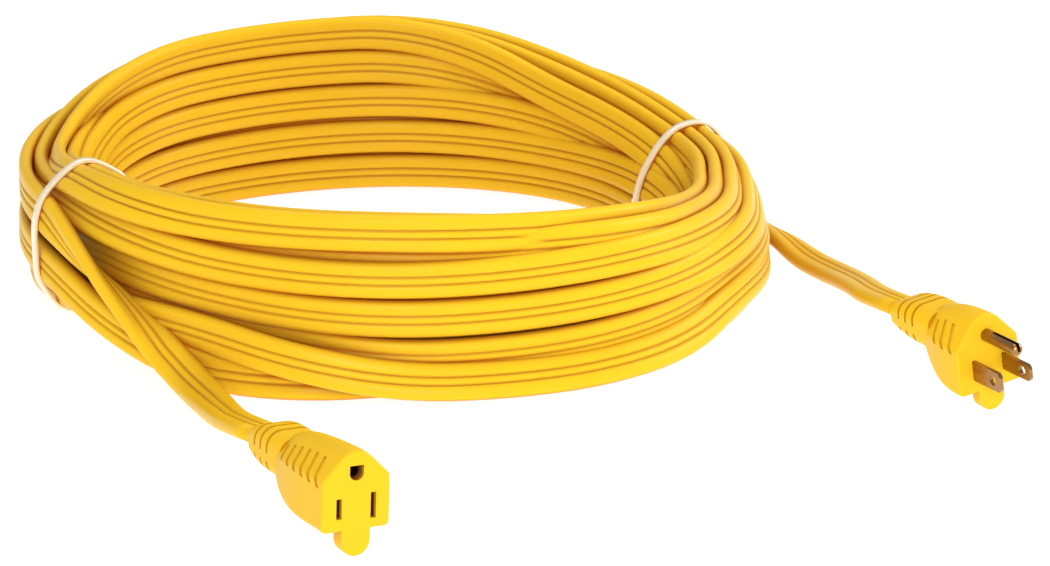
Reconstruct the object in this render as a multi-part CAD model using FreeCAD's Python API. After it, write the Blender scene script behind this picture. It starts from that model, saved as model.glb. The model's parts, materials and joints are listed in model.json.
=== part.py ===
import FreeCAD, Part
import math
import os

# A yellow flat three-core extension cord, wound into a ring and held by two clear ties.
# Millimetres. +Z is up and the cord lies on the plane z = 0. The origin is the middle of
# the footprint. The plug's blades and the connector's face both point along -Y.
# Each end fitting is first built about its own face: x out of the face, y to the right
# as the face is looked at, z up, with zero at the middle of the blade line.

Vec = FreeCAD.Vector

# ---- the flat cord ----
CORD_WIDTH = 14.0
CORD_THICK = 5.2
TAIL_D = 9.2  # the round bar with the flat cord's section area
LOBE_Y = 4.25  # a side core's distance from the middle core
SIDE_CORE_D = 3.6
SIDE_COPPER_D = 1.9
MIDDLE_CORE_D = 2.8
MIDDLE_COPPER_D = 1.6
CORD_GROOVE_Y = 1.5  # two grooves on each flat face, between the cores
CORD_GROOVE_WIDTH = 0.8
CORD_GROOVE_DEPTH = 1.0

# ---- the wound ring ----
COIL_OUTER_R = 148.0
COIL_INNER_R = 126.5
COIL_HEIGHT = 72.0  # over the middle, five cords on edge
COIL_LEFT_HEIGHT = 64.0
COIL_RIGHT_HEIGHT = 50.0  # the turns are bunched lower towards the right tie
COIL_TURN_DEG = -28.8  # from the ring's own x axis to the row's
COIL_EDGE_R = 2.4

# ---- the ties, at these angles on the ring, in its own frame ----
TIE_D = 1.7
TIE_SINK = 0.55  # how deep the tie bites into the soft cord
TIE_ANGLES = {"tie_left": -151.0, "tie_right": 29.0}
TIE_CORNER_R = 5.0
TIE_LOCK = Vec(2.6, 3.0, 4.4)
TIE_LOCK_Z = 8.0
TIE_TAIL = Vec(0.8, 1.6, 6.0)
TIE_TAIL_Z = 12.0

# ---- standard 15 A grounded blade pattern ----
BLADE_PITCH = 12.7
GROUND_RISE = 11.9
BLADE_THICK = 1.5
BLADE_LENGTH = 17.8
LINE_BLADE_H = 6.35
NEUTRAL_BLADE_H = 7.4
BLADE_HOLE_D = 3.9
BLADE_HOLE_X = 12.6
PIN_D = 4.8
PIN_SHANK_D = 4.2  # the part of the pin held inside the plug
PIN_LENGTH = 20.9
PIN_FOLD_GAP = 1.2
PIN_FOLD_START = 5.0
SLOT_THICK = 2.0
LINE_SLOT_H = 7.1
NEUTRAL_SLOT_H = 9.0
GROUND_HOLE_W = 5.2
GROUND_HOLE_TOP = 14.5
SLOT_DEPTH = 22.0

# ---- where the two ends lie, from the ring's centre ----
PLUG_FACE = Vec(115.0, -243.2, 16.9)
PLUG_ROLL_DEG = 8.2
CONNECTOR_FACE = Vec(-152.5, -268.0, 17.0)
CONNECTOR_ROLL_DEG = -2.0
FOOTPRINT_CENTRE = Vec(-7.6, -60.0, 0.0)

# ---- overmoulded bodies: x, half width, bottom, top of each section ----
CONNECTOR_SECTIONS = [
    (0.0, 12.6, -8.1, 19.4),
    (-14.0, 12.4, -8.3, 18.8),
    (-27.0, 11.7, -7.9, 17.4),
    (-37.0, 10.2, -5.6, 15.4),
    (-44.0, 8.2, -2.4, 12.2),
]
PLUG_SECTIONS = [
    (0.0, 13.2, -9.0, 19.8),
    (-9.0, 12.9, -8.7, 19.7),
    (-17.0, 11.8, -7.0, 18.8),
    (-24.0, 10.0, -3.6, 17.0),
    (-29.0, 8.2, -0.4, 14.8),
]
# x, half width, height above and below the cord's own height
CONNECTOR_RELIEF = [(-40.0, 8.9, 7.6), (-50.0, 9.3, 8.0), (-58.0, 9.0, 7.4), (-65.0, 8.2, 4.8)]
PLUG_RELIEF = [(-25.0, 8.9, 7.6), (-34.0, 9.3, 7.9), (-43.0, 9.0, 7.0), (-51.0, 8.2, 4.8)]
# where each fitting's own end of the jacket meets the loose cord
CONNECTOR_JOIN_X = -70.0
PLUG_JOIN_X = -54.0
CONNECTOR_CORD_Z = 4.8
PLUG_CORD_Z = 7.4
CONNECTOR_FLANK_DEG = 45.0
PLUG_FLANK_DEG = 50.0
FACE_EDGE_R = 0.9
TAB_WIDTH = 10.6
TAB_DROP = 17.0
CONNECTOR_TAB_THICK = 5.8
PLUG_TAB_THICK = 4.6
RELIEF_RING_WIDTH = 1.3
RELIEF_RING_DEPTH = 1.2
RELIEF_RING_START = 5.5  # from the cord end of the relief
RELIEF_RING_PITCH = 5.0
GRIP_WIDTH = 1.9
GRIP_DEPTH = 0.8
GRIP_SLANT_DEG = -33.0  # the upper end further from the face
GRIP_PITCH = 6.1
GRIP_LOW_Z = 7.2
GRIP_HIGH_Z = 15.6
GRIP_MIDDLE = 6.4  # half the width of the crown that has no grooves
GRIP_FIRST_X = -5.4
CARRIER_INSET = 2.4

# ---- metal inside the fittings, back from the face ----
BLADE_BACK = -15.0
CONTACT_BACK = -25.0
CRIMP_LENGTH = 7.0
CRIMP_WALL = 0.75
COPPER_BARED = 6.4

# ---- loose ends of the cord, from the ring's centre, each from its fitting to the ring ----
CONNECTOR_TAIL = [
    (-152.5, -198.0, 21.8),
    (-151.0, -172.0, 17.5),
    (-142.5, -142.0, 11.0),
    (-136.0, -110.0, 7.5),
    (-136.0, -80.0, 12.5),
    (-142.0, -54.0, 27.0),
    (-141.2, -27.0, 40.0),
]
PLUG_TAIL = [
    (113.9, -189.2, 24.2),
    (117.5, -163.0, 19.5),
    (128.5, -135.0, 13.5),
    (138.0, -105.0, 9.0),
    (143.5, -75.0, 7.0),
    (146.0, -45.0, 7.2),
    (143.5, -16.0, 8.5),
]


def unit(v):
    return v * (1.0 / v.Length)


def box(x0, x1, y0, y1, z0, z1):
    return Part.makeBox(x1 - x0, y1 - y0, z1 - z0, Vec(x0, y0, z0))


def rod(x0, x1, radius, y=0.0, z=0.0):
    """A round bar along x."""
    return Part.makeCylinder(radius, x1 - x0, Vec(x0, y, z), Vec(1, 0, 0))


def outline_wire(corners, x):
    """A closed wire in the plane x of straight edges and corner arcs.

    corners are (y, z, radius) in order round the section.
    """
    count = len(corners)
    arcs = []
    for i in range(count):
        here = Vec(x, corners[i][0], corners[i][1])
        before = Vec(x, corners[i - 1][0], corners[i - 1][1])
        after = Vec(x, corners[(i + 1) % count][0], corners[(i + 1) % count][1])
        arcs.append(corner_arc(before, here, after, corners[i][2]))
    edges = []
    for i in range(count):
        edges.append(arcs[i].toShape())
        start = arcs[i].EndPoint
        end = arcs[(i + 1) % count].StartPoint
        edges.append(Part.LineSegment(start, end).toShape())
    return Part.Wire(edges)


def corner_arc(before, here, after, radius):
    """The arc of this radius that is tangent to both runs at a corner."""
    back = unit(before - here)
    on = unit(after - here)
    half = back.getAngle(on) / 2.0
    reach = radius / math.tan(half)
    middle = unit(back + on)
    centre = here + middle * (radius / math.sin(half))
    return Part.Arc(here + back * reach, centre - middle * radius, here + on * reach)


def route_wire(points):
    """Straight runs joined by tangent arcs, each as large as its two runs allow."""
    radii = []
    edges = []
    start = points[0]
    for i in range(1, len(points) - 1):
        before, here, after = points[i - 1], points[i], points[i + 1]
        shorter = min((here - before).Length, (after - here).Length)
        turn = (here - before).getAngle(after - here)
        radius = 0.45 * shorter / math.tan(turn / 2.0)
        arc = corner_arc(before, here, after, radius)
        edges.append(Part.LineSegment(start, arc.StartPoint).toShape())
        edges.append(arc.toShape())
        start = arc.EndPoint
        radii.append(radius)
    edges.append(Part.LineSegment(start, points[-1]).toShape())
    return Part.Wire(edges), radii


def swept_rod(wire, first, second, diameter):
    """A round bar along a wire that leaves first towards second."""
    circle = Part.Circle(first, unit(second - first), diameter / 2.0)
    return wire.makePipeShell([Part.Wire([circle.toShape()])], True, False)


def tube_along(points, diameter):
    """A round bar along a route, with the radii of its bends."""
    wire, radii = route_wire(points)
    return swept_rod(wire, points[0], points[1], diameter), radii, wire.Length


def house_wire(x, half_width, bottom, top, flank_deg, inset=0.0):
    """A flat-bottomed section with straight flanks and a rounded crown."""
    width = half_width - inset
    flank = math.radians(flank_deg)
    peak = top - inset + crown_gap(half_width, flank)
    shoulder = peak - width * math.tan(flank)
    crown_r = half_width * 0.62
    corners = [
        (-width, bottom + inset, 1.8),
        (width, bottom + inset, 1.8),
        (width, shoulder, 3.0),
        (0.0, peak, crown_r),
        (-width, shoulder, 3.0),
    ]
    return outline_wire(corners, x)


def crown_gap(half_width, flank):
    """How far the flanks' meeting point stands above the rounded crown."""
    crown_r = half_width * 0.62
    return crown_r / math.cos(flank) - crown_r


def body_loft(sections, flank_deg, inset=0.0):
    wires = [house_wire(*s, flank_deg, inset) for s in sections]
    return Part.makeLoft(wires, True, False)


def relief_wire(x, half_width, half_height, cord_z, inset=0.0):
    wide = half_width - inset
    high = half_height - inset
    corner = min(wide, high) * 0.72
    corners = [
        (-wide, cord_z - high, corner),
        (wide, cord_z - high, corner),
        (wide, cord_z + high, corner),
        (-wide, cord_z + high, corner),
    ]
    return outline_wire(corners, x)


def relief_loft(sections, cord_z, inset=0.0):
    wires = [relief_wire(*s, cord_z, inset) for s in sections]
    return Part.makeLoft(wires, True, False)


def relief_rings(sections, cord_z):
    """Three ring grooves over the top and three notches low on the sides."""
    core = relief_loft(sections, cord_z, RELIEF_RING_DEPTH)
    rings = []
    last = sections[-1][0] + RELIEF_RING_START
    for i in range(3):
        x = last + i * RELIEF_RING_PITCH
        high = box(x, x + RELIEF_RING_WIDTH, -15, 15, cord_z + 0.5, cord_z + 15)
        low = box(x, x + RELIEF_RING_WIDTH, -15, 15, cord_z - 6.0, cord_z - 2.5)
        rings.append(high.cut(core))
        rings.append(low.cut(core))
    return rings


def grip_grooves(sections, flank_deg, count):
    """Slanted finger grooves down both flanks and sides."""
    core = body_loft(sections, flank_deg, GRIP_DEPTH)
    grooves = []
    window_low = box(-80, 5, -20, 20, GRIP_LOW_Z, GRIP_HIGH_Z)
    for i in range(count):
        x = GRIP_FIRST_X - i * GRIP_PITCH
        slab = box(x, x + GRIP_WIDTH, -20, 20, -12, 26)
        slab.rotate(Vec(x, 0, GRIP_LOW_Z), Vec(0, 1, 0), GRIP_SLANT_DEG)
        slab = slab.common(window_low)
        middle = box(-80, 5, -GRIP_MIDDLE, GRIP_MIDDLE, -12, 26)
        grooves.append(slab.cut(core).cut(middle))
    return grooves


def hanging_tab(thick):
    """The rounded tongue under the face."""
    half = TAB_WIDTH / 2.0
    plate = box(-thick, 0.0, -half, half, half - TAB_DROP, 0.0)
    end = rod(-thick, 0.0, half, 0.0, half - TAB_DROP)
    return plate.fuse(end)


def overmould(sections, relief, flank_deg, cord_z, tab_thick, grip_count):
    """The moulded outside of a plug or connector, before its inside is taken out."""
    body = body_loft(sections, flank_deg)
    front = [e for e in body.Edges if all(abs(v.X) < 1e-6 for v in e.Vertexes)]
    body = body.makeFillet(FACE_EDGE_R, front)
    body = body.fuse(relief_loft(relief, cord_z))
    body = body.fuse(hanging_tab(tab_thick))
    for groove in grip_grooves(sections, flank_deg, grip_count):
        body = body.cut(groove)
    for ring in relief_rings(relief, cord_z):
        body = body.cut(ring)
    return body.removeSplitter()


def carrier_block(sections, flank_deg, x_back, x_front):
    """The hard inner block that holds the metal, inset from the outside."""
    section = sections[1]
    wire = house_wire(x_back, *section[1:], flank_deg, CARRIER_INSET)
    return Part.Face(wire).extrude(Vec(x_front - x_back, 0, 0))


def crimp_barrel(x_front, length, y, z, copper_d):
    """The rolled barrel that grips the copper."""
    outer = rod(x_front - length, x_front, copper_d / 2.0 + CRIMP_WALL, y, z)
    bore = rod(x_front - length, x_front - 0.8, copper_d / 2.0, y, z)
    return outer.cut(bore)


def blade(y, height):
    """A folded brass blade with its hole, bevelled tip and crimp barrel."""
    half = BLADE_THICK / 2.0
    tip = 1.6
    outline = [
        (BLADE_BACK, -height / 2.0),
        (BLADE_LENGTH - tip, -height / 2.0),
        (BLADE_LENGTH, -height / 2.0 + tip),
        (BLADE_LENGTH, height / 2.0 - tip),
        (BLADE_LENGTH - tip, height / 2.0),
        (BLADE_BACK, height / 2.0),
        (BLADE_BACK, -height / 2.0),
    ]
    flat = Part.makePolygon([Vec(x, y - half, z) for x, z in outline])
    plate = Part.Face(flat).extrude(Vec(0, BLADE_THICK, 0))
    sides = [e for e in plate.Edges if bevels(e)]
    plate = plate.makeChamfer(0.45, sides)
    hole_at = Vec(BLADE_HOLE_X, y - 2, 0)
    hole = Part.makeCylinder(BLADE_HOLE_D / 2.0, 4, hole_at, Vec(0, 1, 0))
    plate = plate.cut(hole)
    return plate.fuse(crimp_barrel(BLADE_BACK, CRIMP_LENGTH, y, 0.0, SIDE_COPPER_D)).removeSplitter()


def bevels(edge):
    """The two upright edges of a blade's tip."""
    a, b = edge.Vertexes[0].Point, edge.Vertexes[1].Point
    at_tip = abs(a.x - BLADE_LENGTH) < 1e-6 and abs(b.x - BLADE_LENGTH) < 1e-6
    return at_tip and abs(a.z - b.z) > 1.0


def ground_pin():
    """A round pin folded from strip, with its open seam on top and a rounded tip."""
    radius = PIN_D / 2.0
    bar = rod(0.0, PIN_LENGTH, radius, 0.0, GROUND_RISE)
    tip = [e for e in bar.Edges if all(abs(v.X - PIN_LENGTH) < 1e-6 for v in e.Vertexes)]
    bar = bar.makeFillet(1.9, tip)
    half = PIN_FOLD_GAP / 2.0
    top = GROUND_RISE + radius
    seam = box(PIN_FOLD_START, PIN_LENGTH + 1, -half, half, GROUND_RISE - 0.6, top + 1)
    shank = rod(BLADE_BACK, 0.0, PIN_SHANK_D / 2.0, 0.0, GROUND_RISE)
    bar = bar.cut(seam).fuse(shank)
    barrel = crimp_barrel(BLADE_BACK, CRIMP_LENGTH, 0.0, GROUND_RISE, MIDDLE_COPPER_D)
    return bar.fuse(barrel).removeSplitter()


def spring_contact(y, height):
    """Two sprung leaves that take a blade, joined at the back to a crimp barrel."""
    leaves = []
    for side in (-1, 1):
        inner = y + side * 0.65
        outer = y + side * 1.25
        low, high = min(inner, outer), max(inner, outer)
        leaves.append(box(-22.0, -6.5, low, high, -height / 2.0, height / 2.0))
        flare = box(-6.5, -4.6, low, high, -height / 2.0, height / 2.0)
        flare.rotate(Vec(-6.5, inner, 0), Vec(0, 0, 1), side * 22.0)
        leaves.append(flare)
    web = box(-23.0, -21.4, y - 1.25, y + 1.25, -height / 2.0, height / 2.0)
    contact = web.multiFuse(leaves)
    contact = contact.fuse(box(-25.5, -22.5, y - 1.2, y + 1.2, -1.4, 1.4))
    return contact.fuse(crimp_barrel(CONTACT_BACK, CRIMP_LENGTH, y, 0.0, SIDE_COPPER_D)).removeSplitter()


def ground_contact():
    """A slit sleeve that grips the round ground pin."""
    sleeve = rod(-22.0, -4.6, 3.1, 0.0, GROUND_RISE)
    sleeve = sleeve.cut(rod(-21.0, -4.0, 2.35, 0.0, GROUND_RISE))
    sleeve = sleeve.cut(box(-20.0, -4.0, -0.4, 0.4, GROUND_RISE - 5, GROUND_RISE))
    neck = rod(-25.5, -21.5, 1.5, 0.0, GROUND_RISE)
    barrel = crimp_barrel(CONTACT_BACK, CRIMP_LENGTH, 0.0, GROUND_RISE, MIDDLE_COPPER_D)
    return sleeve.fuse(neck).fuse(barrel).removeSplitter()


def core_route(x_barrel, y_metal, z_metal, y_cord, cord_z, x_gland):
    """A core's way from its crimp barrel into the flat cord."""
    gather = x_barrel - 15.0
    return [
        Vec(x_barrel, y_metal, z_metal),
        Vec(x_barrel - 4.5, y_metal, z_metal),
        Vec(gather + 1.5, y_cord, cord_z),
        Vec(gather - 4.0, y_cord, cord_z),
    ], Vec(x_gland, y_cord, cord_z)


def core(route, end, core_d, copper_d, strip):
    """One core: its copper, bared inside the barrel, and its insulation."""
    copper = bar_to(route, end, copper_d)
    bared = route[0] + Vec(strip, 0, 0)
    copper = copper.fuse(rod(route[0].x, bared.x, copper_d / 2.0, route[0].y, route[0].z))
    skin = bar_to(route, end, core_d).cut(copper)
    return skin, copper.removeSplitter()


def bar_to(route, end, diameter):
    bent, _, _ = tube_along(route, diameter)
    last = route[-1]
    return bent.fuse(rod(end.x, last.x, diameter / 2.0, last.y, last.z))


def jacket_end(x_gland, length, cord_z, cores):
    """The flat jacket's end inside the strain relief, round its three cores."""
    corner = CORD_THICK / 2.0 - 0.1
    half_w = CORD_WIDTH / 2.0
    half_t = CORD_THICK / 2.0
    corners = [
        (-half_w, cord_z - half_t, corner),
        (half_w, cord_z - half_t, corner),
        (half_w, cord_z + half_t, corner),
        (-half_w, cord_z + half_t, corner),
    ]
    flat = Part.Face(outline_wire(corners, x_gland)).extrude(Vec(length, 0, 0))
    half_g = CORD_GROOVE_WIDTH / 2.0
    deep = half_t - CORD_GROOVE_DEPTH
    for y in (-CORD_GROOVE_Y, CORD_GROOVE_Y):
        for low, high in ((deep, half_t + 1), (-half_t - 1, -deep)):
            groove = box(x_gland, x_gland + length, y - half_g, y + half_g, cord_z + low, cord_z + high)
            flat = flat.cut(groove)
    for solid in cores:
        flat = flat.cut(solid)
    return flat


def fitting_cores(prefix, x_barrel, line_y, cord_z, x_gland):
    """Insulation and copper of the three cores inside one fitting."""
    lay = {
        "line": (line_y, 0.0, LOBE_Y if line_y > 0 else -LOBE_Y, SIDE_CORE_D, SIDE_COPPER_D),
        "neutral": (-line_y, 0.0, -LOBE_Y if line_y > 0 else LOBE_Y, SIDE_CORE_D, SIDE_COPPER_D),
        "ground": (0.0, GROUND_RISE, 0.0, MIDDLE_CORE_D, MIDDLE_COPPER_D),
    }
    parts = {}
    for name, (y, z, y_cord, core_d, copper_d) in lay.items():
        route, end = core_route(x_barrel - 0.6, y, z, y_cord, cord_z, x_gland)
        skin, copper = core(route, end, core_d, copper_d, COPPER_BARED)
        parts[prefix + "_" + name + "_insulation"] = skin
        parts[prefix + "_" + name + "_copper"] = copper
    return parts


def plug():
    """The male end: overmould, blade carrier, two blades, ground pin and cores."""
    x_gland = PLUG_JOIN_X
    half = BLADE_PITCH / 2.0
    metal = {
        "plug_neutral_blade": blade(-half, NEUTRAL_BLADE_H),
        "plug_line_blade": blade(half, LINE_BLADE_H),
        "plug_ground_pin": ground_pin(),
    }
    carrier = carrier_block(PLUG_SECTIONS, PLUG_FLANK_DEG, -12.5, -2.2)
    parts = fitting_cores("plug", -22.0, half, PLUG_CORD_Z, x_gland)
    sleeve = jacket_end(x_gland, 13.0, PLUG_CORD_Z, list(parts.values()))
    parts["plug_jacket_end"] = sleeve
    for solid in metal.values():
        carrier = carrier.cut(solid)
    parts.update(metal)
    parts["plug_blade_carrier"] = carrier
    body = overmould(
        PLUG_SECTIONS, PLUG_RELIEF, PLUG_FLANK_DEG, PLUG_CORD_Z, PLUG_TAB_THICK, 3
    )
    for solid in parts.values():
        body = body.cut(solid)
    parts["plug_body"] = largest(body)
    return parts


def connector_openings():
    """The two blade slots and the ground hole, open through the face."""
    half = BLADE_PITCH / 2.0
    thin = SLOT_THICK / 2.0
    tall, short = NEUTRAL_SLOT_H / 2.0, LINE_SLOT_H / 2.0
    depth = -SLOT_DEPTH
    left = box(depth, 1.0, -half - thin, -half + thin, -short, short)
    right = box(depth, 1.0, half - thin, half + thin, -tall, tall)
    radius = GROUND_HOLE_W / 2.0
    low = rod(depth + 1.2, 1.0, radius, 0.0, GROUND_RISE)
    high = box(depth + 1.2, 1.0, -radius, radius, GROUND_RISE, GROUND_HOLE_TOP)
    return [left, right, low.fuse(high)]


def connector_chambers():
    """Room for the contacts inside the housing."""
    half = BLADE_PITCH / 2.0
    left = box(-25.0, -3.8, -half - 2.4, -half + 2.4, -4.9, 4.9)
    right = box(-25.0, -3.8, half - 2.4, half + 2.4, -4.9, 4.9)
    middle = rod(-25.0, -3.8, 3.35, 0.0, GROUND_RISE)
    return [left, right, middle]


def connector():
    """The female end: overmould, contact housing, three contacts, back plate and cores."""
    x_gland = CONNECTOR_JOIN_X
    half = BLADE_PITCH / 2.0
    parts = fitting_cores("connector", -32.0, -half, CONNECTOR_CORD_Z, x_gland)
    sleeve = jacket_end(x_gland, 17.0, CONNECTOR_CORD_Z, list(parts.values()))
    parts["connector_jacket_end"] = sleeve
    metal = {
        "connector_line_contact": spring_contact(-half, 6.4),
        "connector_neutral_contact": spring_contact(half, 7.6),
        "connector_ground_contact": ground_contact(),
    }
    parts.update(metal)
    envelope = carrier_block(CONNECTOR_SECTIONS, CONNECTOR_FLANK_DEG, -25.0, -1.6)
    housing = envelope
    for space in connector_chambers() + connector_openings():
        housing = housing.cut(space)
    parts["connector_contact_housing"] = housing
    plate = carrier_block(CONNECTOR_SECTIONS, CONNECTOR_FLANK_DEG, -26.6, -25.0)
    for solid in metal.values():
        plate = largest(plate.cut(solid))
    parts["connector_back_plate"] = plate
    body = overmould(
        CONNECTOR_SECTIONS,
        CONNECTOR_RELIEF,
        CONNECTOR_FLANK_DEG,
        CONNECTOR_CORD_Z,
        CONNECTOR_TAB_THICK,
        6,
    )
    body = body.cut(envelope)
    for solid in connector_openings() + list(parts.values()):
        body = body.cut(solid)
    parts["connector_body"] = largest(body)
    return parts


def largest(shape):
    """The shape's main solid, without slivers."""
    return max(shape.Solids, key=lambda s: s.Volume)


def set_down(parts, face, roll_deg):
    """Turns a fitting to face -Y, rolls it a little and moves it to its place."""
    placed = {}
    for name, shape in parts.items():
        solid = shape.copy()
        solid.rotate(Vec(0, 0, 0), Vec(1, 0, 0), roll_deg)
        solid.rotate(Vec(0, 0, 0), Vec(0, 0, 1), -90.0)
        solid.translate(face)
        placed[name] = solid
    return placed


def arch_arc(y):
    """The arched line that the ring's top follows, in the plane y."""
    reach = COIL_OUTER_R + 2
    left = Vec(-reach, y, COIL_LEFT_HEIGHT)
    right = Vec(reach, y, COIL_RIGHT_HEIGHT)
    return Part.Arc(left, Vec(0, y, COIL_HEIGHT), right)


def coil_top(x):
    """The ring's height at a distance along its own x."""
    circle = arch_arc(0.0).toShape().Curve
    rise = math.sqrt(circle.Radius**2 - (x - circle.Center.x) ** 2)
    return circle.Center.z + rise


def coil_solid():
    """The outer shape of the wound turns: a ring with a gently arched top."""
    ring = Part.makeCylinder(COIL_OUTER_R, COIL_HEIGHT + 5)
    ring = ring.cut(Part.makeCylinder(COIL_INNER_R, COIL_HEIGHT + 5))
    feet = [e for e in ring.Edges if all(abs(v.Z) < 1e-6 for v in e.Vertexes)]
    ring = ring.makeFillet(COIL_EDGE_R, feet)
    reach = COIL_OUTER_R + 2
    arc = arch_arc(-reach)
    left, right = arc.StartPoint, arc.EndPoint
    foot_left = Vec(-reach, -reach, 0)
    foot_right = Vec(reach, -reach, 0)
    edges = [
        arc.toShape(),
        Part.LineSegment(right, foot_right).toShape(),
        Part.LineSegment(foot_right, foot_left).toShape(),
        Part.LineSegment(foot_left, left).toShape(),
    ]
    arch = Part.Face(Part.Wire(edges)).extrude(Vec(0, 2 * reach, 0))
    return ring.common(arch)


def tie(angle_deg):
    """A clear tie drawn round the ring's section, with its small lock at the inner foot."""
    proud = TIE_D / 2.0 - TIE_SINK
    inner = COIL_INNER_R - proud
    outer = COIL_OUTER_R + proud
    across = math.cos(math.radians(angle_deg))
    floor = TIE_D / 2.0
    corners = [
        Vec(inner, 0, floor),
        Vec(outer, 0, floor),
        Vec(outer, 0, coil_top(outer * across) + proud),
        Vec(inner, 0, coil_top(inner * across) + proud),
    ]
    arcs = []
    for i in range(4):
        arcs.append(corner_arc(corners[i - 1], corners[i], corners[(i + 1) % 4], TIE_CORNER_R))
    edges = []
    for i in range(4):
        edges.append(Part.LineSegment(arcs[i - 1].EndPoint, arcs[i].StartPoint).toShape())
        edges.append(arcs[i].toShape())
    start = arcs[3].EndPoint
    loop = swept_rod(Part.Wire(edges), start, arcs[0].StartPoint, TIE_D)
    lock_at = Vec(inner - 2.0, -TIE_LOCK.y / 2.0, TIE_LOCK_Z)
    lock = Part.makeBox(TIE_LOCK.x, TIE_LOCK.y, TIE_LOCK.z, lock_at)
    tail_at = Vec(inner - 1.9, -TIE_TAIL.y / 2.0, TIE_TAIL_Z)
    tail = Part.makeBox(TIE_TAIL.x, TIE_TAIL.y, TIE_TAIL.z, tail_at)
    band = loop.fuse(lock).fuse(tail).removeSplitter()
    band.rotate(Vec(0, 0, 0), Vec(0, 0, 1), angle_deg)
    return band


def wound_cord():
    """The ring, its two loose ends and its ties, about the ring's centre."""
    parts = {"cord_coil": coil_solid()}
    for name, angle in TIE_ANGLES.items():
        parts[name] = tie(angle)
    for name in parts:
        parts[name].rotate(Vec(0, 0, 0), Vec(0, 0, 1), COIL_TURN_DEG)
    for name, points in (("connector_tail", CONNECTOR_TAIL), ("plug_tail", PLUG_TAIL)):
        route = [Vec(*p) for p in points]
        solid, radii, length = tube_along(route, TAIL_D)
        area = math.pi * TAIL_D**2 / 4.0
        print(name, "length", round(length, 1), "volume", round(solid.Volume, 1))
        print("  section x length", round(area * length, 1))
        print("  radii", [round(r, 1) for r in radii])
        parts[name] = solid
    for name in list(parts):
        if name != "cord_coil":
            parts["cord_coil"] = parts["cord_coil"].cut(parts[name])
    parts["cord_coil"] = largest(parts["cord_coil"])
    return parts


def build():
    parts = wound_cord()
    parts.update(set_down(plug(), PLUG_FACE, PLUG_ROLL_DEG))
    parts.update(set_down(connector(), CONNECTOR_FACE, CONNECTOR_ROLL_DEG))
    os.makedirs("parts", exist_ok=True)
    whole = FreeCAD.BoundBox()
    for name in sorted(parts):
        shape = parts[name]
        shape.translate(FOOTPRINT_CENTRE * -1.0)
        whole.add(shape.BoundBox)
        shape.exportStep("parts/" + name + ".step")
        print(name, shape.isValid(), len(shape.Solids), round(shape.Volume, 1))
    print("box", whole)


build()
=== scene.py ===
import json
import math

import bpy
import numpy as np
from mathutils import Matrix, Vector
from mathutils.geometry import convex_hull_2d


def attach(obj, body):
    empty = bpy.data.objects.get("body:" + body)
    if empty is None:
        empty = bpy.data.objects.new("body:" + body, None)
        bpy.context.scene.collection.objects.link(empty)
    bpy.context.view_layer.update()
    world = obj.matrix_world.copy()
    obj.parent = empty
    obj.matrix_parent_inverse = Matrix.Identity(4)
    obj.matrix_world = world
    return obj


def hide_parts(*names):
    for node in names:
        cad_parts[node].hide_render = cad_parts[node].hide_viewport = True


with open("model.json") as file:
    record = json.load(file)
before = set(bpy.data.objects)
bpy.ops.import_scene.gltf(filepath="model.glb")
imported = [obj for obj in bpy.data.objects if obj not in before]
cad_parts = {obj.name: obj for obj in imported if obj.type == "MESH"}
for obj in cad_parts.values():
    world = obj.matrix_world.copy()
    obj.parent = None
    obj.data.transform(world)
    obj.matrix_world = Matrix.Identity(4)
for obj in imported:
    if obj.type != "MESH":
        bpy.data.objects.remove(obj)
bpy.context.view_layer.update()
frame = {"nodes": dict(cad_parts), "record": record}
nodes = frame["nodes"]
scene = bpy.context.scene
scene.view_settings.view_transform = "Standard"

# ---------------------------------------------------------------- camera
camera_data = bpy.data.cameras.new("camera")
camera_data.sensor_width = 36.0
camera_data.lens = 171.43
camera_data.clip_start = 0.05
camera_data.clip_end = 30.0
camera = bpy.data.objects.new("camera", camera_data)
camera.location = (-0.8455, -1.5981, 0.5767)
camera.rotation_euler = (math.radians(72.78), 0.0, math.radians(-28.8))
scene.collection.objects.link(camera)
scene.camera = camera

# ---------------------------------------------------------------- the ring
RING_CENTRE = Vector((0.0076, 0.060, 0.0))
RING_TURN = math.radians(-28.8)  # the ring's own angles start at the photo's right
CORD_WIDTH = 0.0140
CORD_THICK = 0.0052
STEP_DEG = 15.0  # from one control point of the wound cord to the next
TURN_START_DEG = 220.0  # turns are counted from here
FIRST_DEG = 211.0  # the first place on the ring, after the connector's tail
LAST_DEG = 33.0  # the last place on the ring, before the plug's tail
LINE_RESOLUTION = 5  # points of the line for each control point
GROOVE_AT = 0.0015  # the grooves' distance from the middle of the flat face
GROOVE_DEPTH = 0.00105
GROOVE_HALF = 0.0005  # half of a groove's width
EDGE_STEPS = 9  # points round each edge of the section
EDGE_START_DEG = 82.0  # where the rounding of an edge starts, next to the flat face

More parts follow.
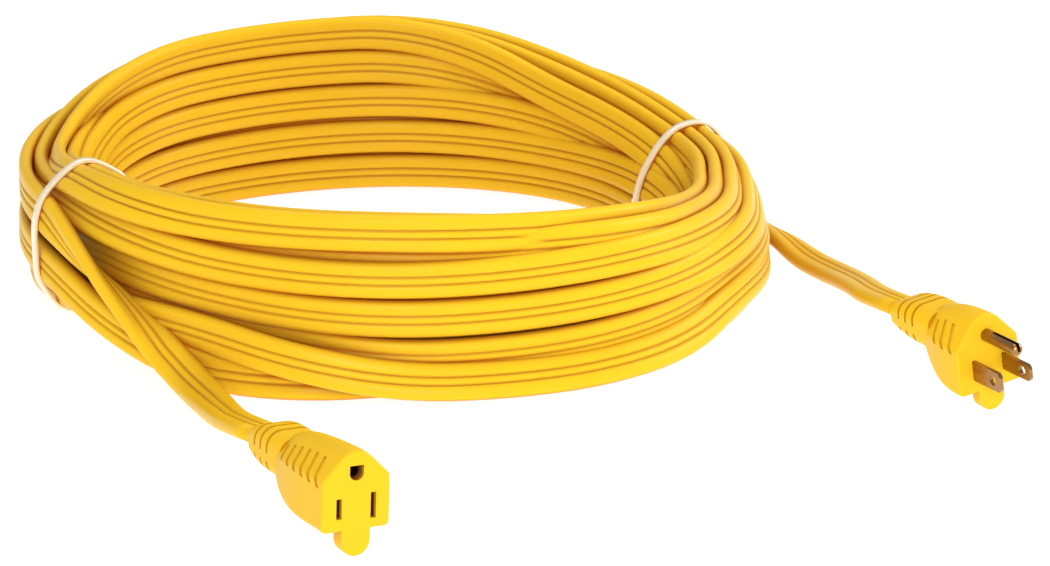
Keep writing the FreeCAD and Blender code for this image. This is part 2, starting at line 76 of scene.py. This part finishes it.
# The ring cut through at some angles, as seen from above, clockwise from the left.
# One place for each turn, in order along the cord: radius and height of its middle in mm,
# and how far its upper edge leans towards the ring's middle, in degrees.
# None, or no entry, leaves the turn's place at that angle to its places on either side.
CUTS = {
    213: [(146.8, 48.8, 20), (139.4, 53, 34), (132, 49, 30), (136.5, 62, 60), (120.3, 59.5, -58),
          (117.5, 47.5, -25), (118.3, 33.5, -10), (119.8, 19.5, 0), (125, 15.5, 5), (130.8, 17, 5),
          (125.5, 30.5, -4), (123.8, 44, -15), (127, 60, -20), (130.4, 37, 5), (136.4, 38, 8),
          (135.8, 22.5, 0), (141.5, 19.5, -12), (147.8, 29.5, 4)],
    180: [(140.6, 48, -6), (135.2, 47.5, -4), (129.8, 36, 4), (129.3, 50, 14), (117.5, 45, -28),
          (116.6, 33.5, -12), (116.5, 21, 0), (117, 7.5, 0), (123, 7.5, 0), (129.3, 9, 0),
          (123.5, 21.5, 0), (123.5, 34.5, -6), (122.4, 48, -5), (129.7, 23.5, 2), (135.2, 34, 0),
          (134.8, 20.5, 0), (138, 13, 0), (140.8, 31, 0)],
    135: [(144.8, 48, 4), (139.5, 60, 8), (134, 60.5, 6), (128.6, 66, 8), (128.3, 51.8, -2),
          (128.2, 37.4, 0), (128.4, 21.8, 0), (129.4, 7.4, 0), (139.4, 12, 0), (134.2, 7, 0),
          (133.7, 20.5, 0), (133.7, 34, 0), (133.9, 47.5, 2), (139.4, 47.5, 2), (144.8, 33.8, 0),
          (139.4, 32, 0), (144.8, 20.3, 0), (145, 7, 0)],
    90: [(145, 50, 0), (139.8, 64.8, 0), (134.6, 64.5, 0), (129.3, 67, 0), (129.4, 52.8, 0),
         (129.3, 38.2, 0), (129.3, 22.8, 0), (129.3, 7.9, 0), (139.8, 12, 0), (134.5, 6.9, 0),
         (134.5, 18.5, 0), (134.6, 31.5, 0), (134.6, 48, 0), (139.8, 49.8, 0), (145, 35.8, 0),
         (139.8, 33, 0), (145, 21.4, 0), (145.2, 7, 0)],
    58: [(142.8, 49, 4), (137.4, 51, -2), (131.8, 48.5, -8), (126.5, 43.5, -14), (132, 35, -8),
         (127.3, 32.5, -8), (125.6, 21.5, -4), (125.2, 8.6, 0), (130.4, 8.6, 0), (135.6, 8.8, 0),
         (130.8, 21.8, 0), (136.2, 22.5, 0), (137.2, 36.5, 0), (142.4, 35, 0), (147, 29.5, 0),
         (141.4, 21.5, 0), (140.9, 8, 0), (147, 8, 0)],
    28: [(140.3, 37, 8), (133.2, 37.2, -4), (126.3, 36, -20), (119.6, 32.5, -36),
         (125.8, 23.5, -20), (119.9, 20.5, -22), (114, 23.3, -22), (112.3, 9.5, -5),
         (117.8, 8.6, -4), (123.3, 8.6, -2), (128.8, 8.6, 0), (134.3, 8.6, 0),
         (131.6, 24.5, -10), (146.3, 33.5, 14), (143.5, 21.5, 4), (145.1, 9, 0),
         (139.8, 8.6, 0), (150.6, 8.6, 16)],
    0: [(132.3, 36, 34), (126.2, 37.8, 28), (120, 38, 20), (117.3, 22.5, -14), (128, 22.5, -4),
        (122.6, 22.5, -8), (111.8, 21.5, -12), (111.5, 8, 0), (116.8, 8, 0), (122, 8, 0),
        (127.3, 8, 0), (132.6, 8, 0), (133.3, 21.5, 2), (138.6, 31, 30), (142.8, 22.5, 14),
        (143.6, 12, 6), (138.4, 8.2, 0)],
    -25: [(136.4, 40.8, 28), (130.4, 43.5, 24), (124.4, 44.5, 20), (118.6, 34.5, -6),
          (124.8, 30.5, 0), (121.5, 19.5, 0), (117, 20.5, -4), (117, 7, 0), (123, 7, 0),
          (128.3, 7.5, 0), (134, 8, 0), (127.5, 19, 0), (132.5, 24, 4), (142.8, 33.2, 27),
          (142.4, 22.5, 14), (145, 15.5, 10), (140.6, 8.2, 0)],
    -50: [(145.2, 45.5, 6), (142.6, 51.5, 10), (138, 55.5, 10), (125, 48.5, 0), (125.8, 34.8, 0),
          (129.8, 27, 0), (124.5, 21, 0), (124.3, 7, 0), (129.6, 9, 0), (135.3, 19, 0),
          (136.5, 31, 0), (130.2, 41, 0), (137, 40, 0), (145.4, 31, 3), (145, 16.1, 0),
          (150.4, 6.4, 36), (141, 7, 0)],
    -60: [None, None, (138.2, 57.0, 14)],
    -70: [None, None, (142.0, 59.8, 10)],
    -90: [(145.4, 45, 0), (141.2, 56, 12), (146.4, 63.2, 0), (129.6, 59.2, 0), (129.6, 46.3, 0),
          (129.6, 33.2, 0), (129.6, 20, 0), (129.6, 6.9, 0), (135, 20.2, 0), (135, 33.6, 0),
          (135, 47, 0), (135, 60, 0), (140.2, 37.5, 0), (145.4, 30.2, 0), (144.9, 15.0, 0),
          (150, 8, 18), (140.5, 6.9, 0)],
    -106: [None] * 15 + [(153.6, 17.8, 8), (151.5, 6.8, 30)],
    -120: [(145, 48.4, 6), (139.4, 57, 10), (144.6, 62.9, 10), (127.5, 59, -10), (126.4, 46.5, -6),
           (126.4, 33, 0), (126.6, 20, 0), (127, 8, 0), (133.6, 19, 0), (133.6, 32.5, 0),
           (133.6, 46, 0), (133.8, 59, 6), (138.5, 41, 0), (143.2, 35.2, 0), (139.6, 24, 0),
           (147.3, 22.8, 0), (150.4, 7.6, 0)],
}

CONNECTOR_TAIL = [
    (-0.1525, -0.1980, 0.0218), (-0.1510, -0.1720, 0.0175), (-0.1415, -0.1420, 0.0105),
    (-0.1345, -0.1150, 0.0070), (-0.1315, -0.0935, 0.0072), (-0.1338, -0.0775, 0.0135),
    (-0.1385, -0.0620, 0.0235), (-0.1428, -0.0460, 0.0322), (-0.1464, -0.0300, 0.0402),
]
PLUG_TAIL = [
    (0.1505, -0.0160, 0.0085), (0.1490, -0.0450, 0.0080), (0.1435, -0.0750, 0.0070),
    (0.1378, -0.1050, 0.0104), (0.1284, -0.1350, 0.0160), (0.1175, -0.1630, 0.0205),
    (0.1139, -0.1892, 0.0242),
]


def ring_point(angle_deg, radius, height):
    """A point of the ring in the row frame, from its own angle, radius and height in metres."""
    a = math.radians(angle_deg) + RING_TURN
    x, y = RING_CENTRE.x + radius * math.cos(a), RING_CENTRE.y + radius * math.sin(a)
    return Vector((x, y, height))


def smooth_line(xs, ys, x):
    """A smooth curve through the given places that doesn't overshoot them."""
    xs, ys = np.asarray(xs, float), np.asarray(ys, float)
    h = np.diff(xs)
    d = np.diff(ys) / h
    m = np.zeros(len(xs))
    m[0], m[-1] = d[0], d[-1]
    for i in range(1, len(xs) - 1):
        if d[i - 1] * d[i] > 0:
            w1, w2 = 2 * h[i] + h[i - 1], h[i] + 2 * h[i - 1]
            m[i] = (w1 + w2) / (w1 / d[i - 1] + w2 / d[i])
    k = np.clip(np.searchsorted(xs, x, side="right") - 1, 0, len(xs) - 2)
    t = (x - xs[k]) / h[k]
    return (
        (1 + 2 * t) * (1 - t) ** 2 * ys[k] + t * (1 - t) ** 2 * h[k] * m[k]
        + t * t * (3 - 2 * t) * ys[k + 1] + t * t * (t - 1) * h[k] * m[k + 1]
    )


def travel(turn, angle):
    """Degrees travelled round the ring, clockwise from above."""
    return 360.0 * turn + (TURN_START_DEG - angle)


places, radii, heights, leans = [], [], [], []
turns = len(CUTS[213])
for turn in range(turns):
    for angle, cut in CUTS.items():
        if turn < len(cut) and cut[turn]:
            radius, height, lean = cut[turn]
            places.append(travel(turn, angle))
            radii.append(radius / 1000.0)
            heights.append(height / 1000.0)
            leans.append(lean)
first, last = travel(0, FIRST_DEG), travel(turns - 1, LAST_DEG)
count = int(round((last - first) / STEP_DEG))
ring_travel = np.linspace(first, last, count + 1)
ring_r = np.array([smooth_line(places, radii, x) for x in ring_travel])
ring_z = np.array([smooth_line(places, heights, x) for x in ring_travel])
ring_lean = np.array([smooth_line(places, leans, x) for x in ring_travel])
# the curve runs a little inside its control points, so they stand this much further out
outset = 1.0 / (0.75 + 0.25 * math.cos(math.radians(STEP_DEG)))
ring_points = [
    ring_point(TURN_START_DEG - x, r * outset, z) for x, r, z in zip(ring_travel, ring_r, ring_z)
]
connector_points = [RING_CENTRE + Vector(p) for p in CONNECTOR_TAIL]
plug_points = [RING_CENTRE + Vector(p) for p in PLUG_TAIL]
route = connector_points + ring_points + plug_points
# the flat cord's roll about its own line: 0 stands on edge, 90 lies flat
tail_roll_connector = [-90, -92, -98, -110, -126, -132, -90, -60, -20]
tail_roll_plug = [36, 72, 92, 96, 94, 92, 90]
rolls = tail_roll_connector + list(ring_lean) + tail_roll_plug


def spline_line(points, resolution):
    """The points of a smooth curve that has the given points as its control points."""
    data = bpy.data.curves.new("route", "CURVE")
    data.dimensions = "3D"
    data.resolution_u = resolution
    spline = data.splines.new("NURBS")
    spline.points.add(len(points) - 1)
    for p, co in zip(spline.points, points):
        p.co = (co[0], co[1], co[2], 1.0)
    spline.order_u = 3
    spline.use_endpoint_u = True
    obj = bpy.data.objects.new("route", data)
    scene.collection.objects.link(obj)
    bpy.context.view_layer.update()
    depsgraph = bpy.context.evaluated_depsgraph_get()
    mesh = bpy.data.meshes.new_from_object(obj.evaluated_get(depsgraph))
    line = [v.co.copy() for v in mesh.vertices]
    bpy.data.objects.remove(obj)
    bpy.data.curves.remove(data)
    bpy.data.meshes.remove(mesh)
    return line


def mesh_object(name, points, faces, smooth=False):
    """A new object in the scene, made from its points and faces."""
    mesh = bpy.data.meshes.new(name)
    mesh.from_pydata([tuple(p) for p in points], [], faces)
    for polygon in mesh.polygons:
        polygon.use_smooth = smooth
    obj = bpy.data.objects.new(name, mesh)
    scene.collection.objects.link(obj)
    return obj


def cord_section():
    """The flat cord's outline: two wide lobes and a slim rib between two grooves on each face."""
    half_w, half_t = CORD_WIDTH / 2.0, CORD_THICK / 2.0
    corner = half_w - half_t
    # from one edge to the middle of a face: place across it, and height over its plane
    face = [
        (-0.0042, 0.0), (-0.0032, 0.0001), (-0.0022, 0.0),
        (-GROOVE_AT - GROOVE_HALF, -0.00014), (-GROOVE_AT, -GROOVE_DEPTH),
        (-GROOVE_AT + GROOVE_HALF, -0.00014), (-0.0006, 0.00004), (0.0, 0.0001),
    ]
    face = face + [(-x, y) for x, y in reversed(face[:-1])]
    edge_angles = np.radians(np.linspace(EDGE_START_DEG, -EDGE_START_DEG, EDGE_STEPS))
    points = [(x, half_t + y) for x, y in face]
    for a in edge_angles:
        points.append((corner + half_t * math.cos(a), half_t * math.sin(a)))
    points += [(-x, -half_t - y) for x, y in face]
    for a in edge_angles:
        points.append((-corner - half_t * math.cos(a), -half_t * math.sin(a)))
    return points


line = spline_line(route, LINE_RESOLUTION)
# the curve's stretch i runs from half way past control point i to half way past the next
segments = len(route) - 2
roll_at = np.interp(np.linspace(0.5, segments + 0.5, len(line)), np.arange(len(route)), rolls)
section = cord_section()
vertices, faces = [], []
n = len(section)
# the section is carried along the line, rolled about it, and skinned ring to ring
for i, p in enumerate(line):
    ahead = line[min(i + 1, len(line) - 1)] - line[max(i - 1, 0)]
    ahead.normalize()
    side = Vector((-ahead.y, ahead.x, 0.0)).normalized()  # away from the ring's middle
    up = ahead.cross(side)
    a = math.radians(roll_at[i])
    flat = up * math.cos(a) - side * math.sin(a)
    normal = side * math.cos(a) + up * math.sin(a)
    vertices += [p + flat * x + normal * y for x, y in section]
for i in range(len(line) - 1):
    for j in range(n):
        k = (j + 1) % n
        faces.append((i * n + j, (i + 1) * n + j, (i + 1) * n + k, i * n + k))
faces.append(tuple(range(n)))
faces.append(tuple(reversed(range((len(line) - 1) * n, len(line) * n))))
cord = mesh_object("cord", vertices, faces, smooth=True)


# ---------------------------------------------------------------- materials
def new_material(name, colour, rough, **inputs):
    """A plain material, with more of the shader's inputs given by name."""
    material = bpy.data.materials.new(name)
    material.use_nodes = True
    shader = material.node_tree.nodes["Principled BSDF"]
    shader.inputs["Base Color"].default_value = (*colour, 1.0)
    shader.inputs["Roughness"].default_value = rough
    for key, value in inputs.items():
        shader.inputs[key.replace("_", " ")].default_value = value
    return material, material.node_tree, shader


def wire(tree, kind, output, **inputs):
    """One output of a new node, whose inputs are given by name as values or as other outputs."""
    node = tree.nodes.new("ShaderNode" + kind)
    if kind == "Mix":
        node.data_type = "RGBA"
    for key, value in inputs.items():
        socket = node.inputs[key.replace("_", " ")]
        if isinstance(value, bpy.types.NodeSocket):
            tree.links.new(value, socket)
        elif socket.type == "RGBA":
            socket.default_value = (*value, 1.0)
        else:
            socket.default_value = value
    return node.outputs[output]


CREVICE_REACH = 0.005  # how far from a neighbour the vinyl starts to look darker with painted shade
CREVICE_SAMPLES = 6
SHELTER_REACH = 0.30  # how far across the ring a facing wall still darkens the vinyl with painted shade
SHELTER_SAMPLES = 4
INSIDE_SHADE_FACTORS = (0.58, 0.47, 0.7)  # what is left of the colour under the painted shade deep inside the ring


def vinyl(name, colour, dark, rough, crevice_shade_colour):
    """Soft plastic: mottling, fine grain, and painted shade in crevices and deep inside the ring.
    """
    material, tree, shader = new_material(name, colour, rough, Specular_IOR_Level=0.1)
    place = wire(tree, "TexCoord", "Object")
    clouds = wire(tree, "TexNoise", "Fac", Vector=place, Scale=60.0, Detail=5.0)
    mottling = wire(tree, "Mix", "Result", Factor=clouds, A=dark, B=colour)
    # painted shade deep inside the ring: the more of the ring a point faces, the darker its colour
    shelter = wire(tree, "AmbientOcclusion", "AO", Distance=SHELTER_REACH)
    shelter.node.samples = SHELTER_SAMPLES
    shelter.node.only_local = True
    openness = wire(tree, "MapRange", "Result", Value=shelter, From_Min=0.50, From_Max=0.92)
    inside_shade_colour = tuple(c * k for c, k in zip(colour, INSIDE_SHADE_FACTORS))
    inside_shaded = wire(tree, "Mix", "Result", Factor=openness, A=inside_shade_colour, B=mottling)
    # painted shade in crevices and grooves: darker close to neighbouring surfaces
    crevice = wire(tree, "AmbientOcclusion", "AO", Distance=CREVICE_REACH)
    crevice.node.samples = CREVICE_SAMPLES
    distance = wire(tree, "MapRange", "Result", Value=crevice, From_Min=0.08, From_Max=0.58)
    shade = wire(tree, "Mix", "Result", Factor=distance, A=crevice_shade_colour, B=inside_shaded)
    tree.links.new(shade, shader.inputs["Base Color"])
    grain = wire(tree, "TexNoise", "Fac", Vector=place, Scale=900.0, Detail=3.0)
    bump = wire(tree, "Bump", "Normal", Height=grain, Strength=0.12, Distance=0.0003)
    tree.links.new(bump, shader.inputs["Normal"])
    return material


def stamped_metal(name, colour, dark, scale):
    """Bare metal with faint brushing along its length and dull patches from handling."""
    material, tree, shader = new_material(name, colour, 0.3, Metallic=1.0)
    place = wire(tree, "TexCoord", "Object")
    stretched = wire(tree, "Mapping", "Vector", Vector=place, Scale=(6.0, 0.5, 6.0))
    brushing = wire(tree, "TexNoise", "Fac", Vector=stretched, Scale=scale, Detail=4.0)
    blend = wire(tree, "Mix", "Result", Factor=brushing, A=dark, B=colour)
    tree.links.new(blend, shader.inputs["Base Color"])
    spread = wire(tree, "MapRange", "Result", Value=brushing, To_Min=0.16, To_Max=0.42)
    tree.links.new(spread, shader.inputs["Roughness"])
    bump = wire(tree, "Bump", "Normal", Height=brushing, Strength=0.10, Distance=0.0002)
    tree.links.new(bump, shader.inputs["Normal"])
    return material


def clear_nylon(name, colour):
    """Slightly yellowed clear nylon with a hazy surface."""
    material, tree, shader = new_material(name, colour, 0.32, Transmission_Weight=0.25, IOR=1.53)
    place = wire(tree, "TexCoord", "Object")
    haze = wire(tree, "TexNoise", "Fac", Vector=place, Scale=300.0)
    spread = wire(tree, "MapRange", "Result", Value=haze, To_Min=0.22, To_Max=0.45)
    tree.links.new(spread, shader.inputs["Roughness"])
    return material


# the cord's and the fittings' yellow, and the mottling in it
YELLOW, YELLOW_DEEP = (0.92, 0.56, 0.016), (0.88, 0.51, 0.014)
# for each slot: colour, the mottling's second colour, roughness, and the painted shade colour in
# crevices
VINYLS = {
    "cord_vinyl": (YELLOW, YELLOW_DEEP, 0.34, (0.68, 0.19, 0.012)),
    "moulded_vinyl": (YELLOW, YELLOW_DEEP, 0.40, (0.80, 0.40, 0.008)),
    "carrier_plastic": ((0.62, 0.25, 0.06), (0.50, 0.18, 0.04), 0.5, (0.06, 0.02, 0.01)),
    "line_insulation": ((0.02, 0.02, 0.02), (0.03, 0.03, 0.03), 0.4, (0.01, 0.01, 0.01)),
    "neutral_insulation": ((0.85, 0.85, 0.82), (0.8, 0.8, 0.77), 0.4, (0.3, 0.3, 0.3)),
    "ground_insulation": ((0.02, 0.25, 0.07), (0.02, 0.2, 0.06), 0.4, (0.01, 0.05, 0.01)),
}
# for each slot: colour, tarnished colour, and how fine the brushing is
METALS = {
    "brass": ((0.52, 0.30, 0.12), (0.22, 0.11, 0.04), 90.0),
    "copper": ((0.78, 0.40, 0.22), (0.55, 0.24, 0.12), 400.0),
}
MATERIALS = {slot: vinyl(slot, *values) for slot, values in VINYLS.items()}
MATERIALS.update({slot: stamped_metal(slot, *values) for slot, values in METALS.items()})
cord.data.materials.append(MATERIALS["cord_vinyl"])
for subpart in frame["record"]["subparts"]:
    finish = MATERIALS.get(subpart["material_slot"])
    if finish:
        nodes[subpart["node"]].data.materials.clear()
        nodes[subpart["node"]].data.materials.append(finish)

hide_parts("cord_coil", "connector_tail", "plug_tail")
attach(cord, "root")


# ---------------------------------------------------------------- the ties
TIE_PLACES = {"tie_left": 209.0, "tie_right": 29.0}
TIE_WIDTH = 0.0033
TIE_THICK = 0.0016
TIE_LIFT = 0.35  # of its thickness, how far the strap's inside stands off the cord's outline
TIE_STEPS = 96  # places round the strap
TIE_SMOOTHINGS = 4  # rounds of smoothing, which ease the strap over the cord's edges
NEAR_DEG = 20.0  # only runs of the line this close to the tie are cut
LOCK_BEVEL = 0.0004  # at the top and foot of each block of the lock
LOCK_INSET = 0.6  # of the strap's thickness, how far the lock stands inside the cord's outline
# half width, foot, top and thickness of the lock and of the strap's cut end above it
LOCK_BLOCKS = [(0.0017, 0.0080, 0.0124, 0.0026), (0.0010, 0.0118, 0.0180, 0.0009)]


def ring_cut(angle_deg):
    """Where the cord's own surface crosses the upright half-plane at this angle of the ring."""
    cut = []
    angles = [math.degrees(math.atan2(p.y - RING_CENTRE.y, p.x - RING_CENTRE.x)) for p in line]
    wanted = angle_deg + math.degrees(RING_TURN)
    for i in range(len(line) - 1):
        start = (angles[i] - wanted + 180.0) % 360.0 - 180.0
        end = (angles[i + 1] - wanted + 180.0) % 360.0 - 180.0
        if abs(start) > NEAR_DEG or start * end > 0 or start == end:
            continue
        t = start / (start - end)
        for j in range(n):
            v = vertices[i * n + j].lerp(vertices[(i + 1) * n + j], t)
            cut.append(Vector((math.hypot(v.x - RING_CENTRE.x, v.y - RING_CENTRE.y), v.z)))
    return cut


def tie(name, angle_deg):
    """A narrow clear strap pulled tight round all the turns, with its lock inside the ring."""
    cut = ring_cut(angle_deg)
    hull = [cut[i] for i in convex_hull_2d(cut)]
    centre = sum(hull, Vector((0.0, 0.0))) / len(hull)
    hull = [p + (p - centre).normalized() * (TIE_THICK * TIE_LIFT) for p in hull]
    lengths = [0.0]
    for a, b in zip(hull, hull[1:] + hull[:1]):
        lengths.append(lengths[-1] + (b - a).length)
    closed = hull + hull[:1]
    at = np.linspace(0.0, lengths[-1], TIE_STEPS, endpoint=False)
    loop = np.stack([np.interp(at, lengths, [p[k] for p in closed]) for k in (0, 1)], axis=1)
    for _ in range(TIE_SMOOTHINGS):
        loop = 0.5 * loop + 0.25 * (np.roll(loop, 1, axis=0) + np.roll(loop, -1, axis=0))
    a = math.radians(angle_deg) + RING_TURN
    outward = Vector((math.cos(a), math.sin(a), 0.0))
    along = Vector((-math.sin(a), math.cos(a), 0.0))
    band_points, band_faces = [], []
    # the strap's section, in widths and thicknesses
    profile = [(-0.5, -0.35), (-0.38, -0.5), (0.38, -0.5), (0.5, -0.35),
               (0.5, 0.3), (0.36, 0.5), (-0.36, 0.5), (-0.5, 0.3)]
    for i in range(TIE_STEPS):
        r, z = loop[i]
        dr, dz = loop[(i + 1) % TIE_STEPS] - loop[i - 1]
        size = math.hypot(dr, dz)
        out = Vector((dz / size, -dr / size))
        if out.dot(Vector((r, z)) - centre) < 0:
            out = -out
        middle = Vector((RING_CENTRE.x, RING_CENTRE.y, z)) + outward * r
        normal = outward * out.x + Vector((0.0, 0.0, out.y))
        for x, y in profile:
            band_points.append(middle + along * (x * TIE_WIDTH) + normal * ((y + 0.5) * TIE_THICK))
    m = len(profile)
    for i in range(TIE_STEPS):
        for j in range(m):
            k, i2 = (j + 1) % m, (i + 1) % TIE_STEPS
            band_faces.append((i * m + j, i * m + k, i2 * m + k, i2 * m + j))
    band = mesh_object(name + "_strap", band_points, band_faces, smooth=True)
    band.data.materials.append(CLEAR_TIE)
    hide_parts(name)
    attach(band, "root")
    inner = min(p.x for p in hull)
    lock(name, outward, along, inner - TIE_THICK * LOCK_INSET)


def lock(name, outward, along, radius):
    """The tie's little head, near its foot, with the cut end of the strap above it."""
    points, faces = [], []
    for half_wide, low, high, thick in LOCK_BLOCKS:
        start = len(points)
        levels = (low, low + LOCK_BEVEL, high - LOCK_BEVEL, high)
        for z, inset in zip(levels, (LOCK_BEVEL, 0.0, 0.0, LOCK_BEVEL)):
            for x, y in ((-1, -1), (1, -1), (1, 1), (-1, 1)):
                flat = along * (x * (half_wide - inset))
                deep = outward * (radius - thick / 2.0 + y * (thick / 2.0 - inset))
                points.append(Vector((RING_CENTRE.x, RING_CENTRE.y, z)) + flat + deep)
        for level in range(len(levels) - 1):
            for j in range(4):
                k = (j + 1) % 4
                a, b = start + level * 4, start + level * 4 + 4
                faces.append((a + j, a + k, b + k, b + j))
        faces.append(tuple(start + j for j in (3, 2, 1, 0)))
        faces.append(tuple(len(points) - 4 + j for j in range(4)))
    head = mesh_object(name + "_lock", points, faces)
    head.data.materials.append(CLEAR_TIE)
    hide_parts(name)
    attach(head, "root")


CLEAR_TIE = clear_nylon("clear_nylon", (0.95, 0.82, 0.58))
for tie_name, tie_angle in TIE_PLACES.items():
    tie(tie_name, tie_angle)

# ---------------------------------------------------------------- floor and light
FLOOR_REACH = 6.0
FLOOR_DROP = 0.0004  # so that it doesn't share a plane with the cord's underside
corners = [(x * FLOOR_REACH, y * FLOOR_REACH, 0) for x, y in ((-1, -1), (1, -1), (1, 1), (-1, 1))]
floor = mesh_object("floor", corners, [(0, 1, 2, 3)])
floor.location.z = -FLOOR_DROP
floor_material, _, floor_shader = new_material("floor", (0.42,) * 3, 0.8, Emission_Strength=0.86)
floor_shader.inputs["Emission Color"].default_value = (1, 1, 1, 1)
floor.data.materials.append(floor_material)


def area_light(name, place, target, size, power):
    """A square white soft box that faces its target."""
    data = bpy.data.lights.new(name, "AREA")
    data.shape = "SQUARE"
    data.size = size
    data.energy = power
    obj = bpy.data.objects.new(name, data)
    obj.location = place
    obj.rotation_euler = (Vector(target) - Vector(place)).to_track_quat("-Z", "Y").to_euler()
    scene.collection.objects.link(obj)


area_light("key", place=(-1.0, -1.9, 0.72), target=(0, 0, 0.02), size=0.8, power=24.0)
area_light("fill", place=(1.6, -0.5, 0.8), target=(0, 0, 0.02), size=0.9, power=16.0)
area_light("top", place=(0.1, 0.2, 1.8), target=(0, 0, 0), size=1.6, power=15.0)
world = bpy.data.worlds.new("studio")
world.use_nodes = True
sky = world.node_tree.nodes["Background"]
sky.inputs["Color"].default_value = (1.0, 1.0, 1.0, 1.0)
sky.inputs["Strength"].default_value = 0.40
scene.world = world
